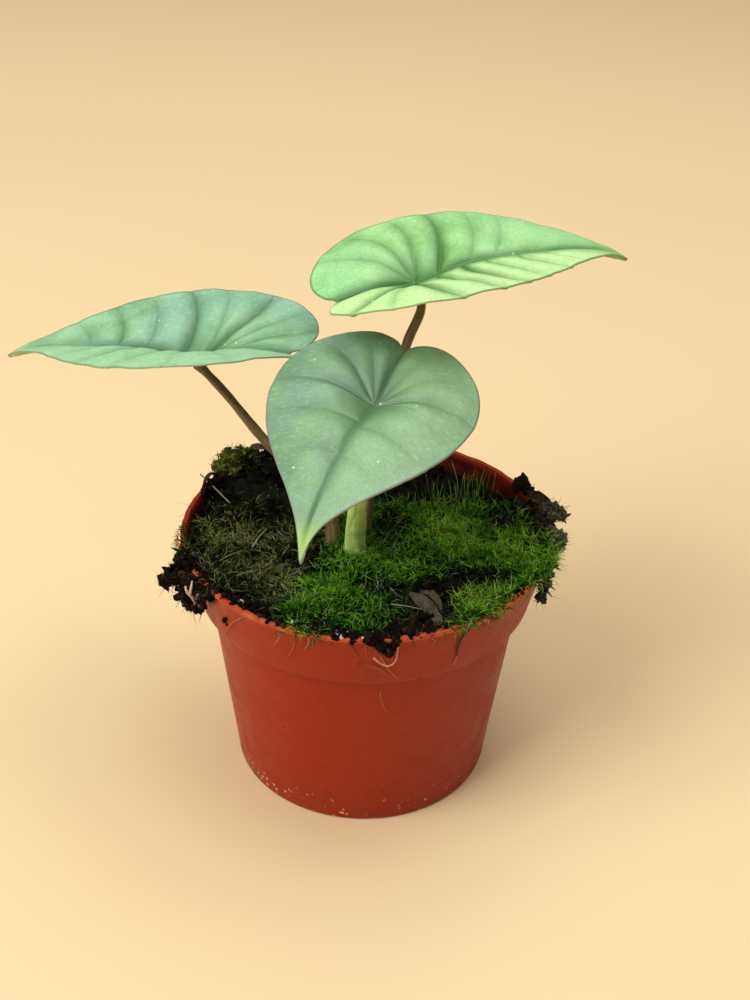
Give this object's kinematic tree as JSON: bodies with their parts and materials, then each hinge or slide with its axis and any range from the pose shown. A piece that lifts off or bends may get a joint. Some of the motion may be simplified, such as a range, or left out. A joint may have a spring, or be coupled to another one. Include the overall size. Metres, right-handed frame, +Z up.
{
  "type": "potted alocasia platinum",
  "caption": "Young potted aroid: pointed heart-shaped silvery leaves on slim stems, rising from mossy soil in a tapered round nursery pot.",
  "frame": {"origin": "centre of the pot's foot, in the plane that the pot stands on", "axes": "+Z up along the pot's axis, +X to the right leaf's side, +Y away from the front leaf"},
  "size_m": [0.1538, 0.1047, 0.1342],
  "materials": {
    "terracotta_plastic": "satin",
    "potting_mix": "matte",
    "root": "matte",
    "lush_moss": "matte",
    "dry_moss": "matte",
    "bright_moss": "matte",
    "rim_crumb": "matte",
    "green_petiole": "satin",
    "brown_petiole": "satin",
    "front_leaf": "satin",
    "left_leaf": "satin",
    "right_leaf": "satin"
  },
  "bodies": {
    "root": {"pot": "terracotta_plastic", "potting_soil": "potting_mix", "rootstock": "root", "moss_lush": "lush_moss", "moss_dry": "dry_moss", "moss_tuft_back_left": "bright_moss", "crumbs_right_rim": "rim_crumb", "petiole_front": "green_petiole", "petiole_left": "brown_petiole", "petiole_right": "brown_petiole", "blade_left": "left_leaf", "blade_right": "right_leaf", "blade_front": "front_leaf"}
  },
  "joints": []
}
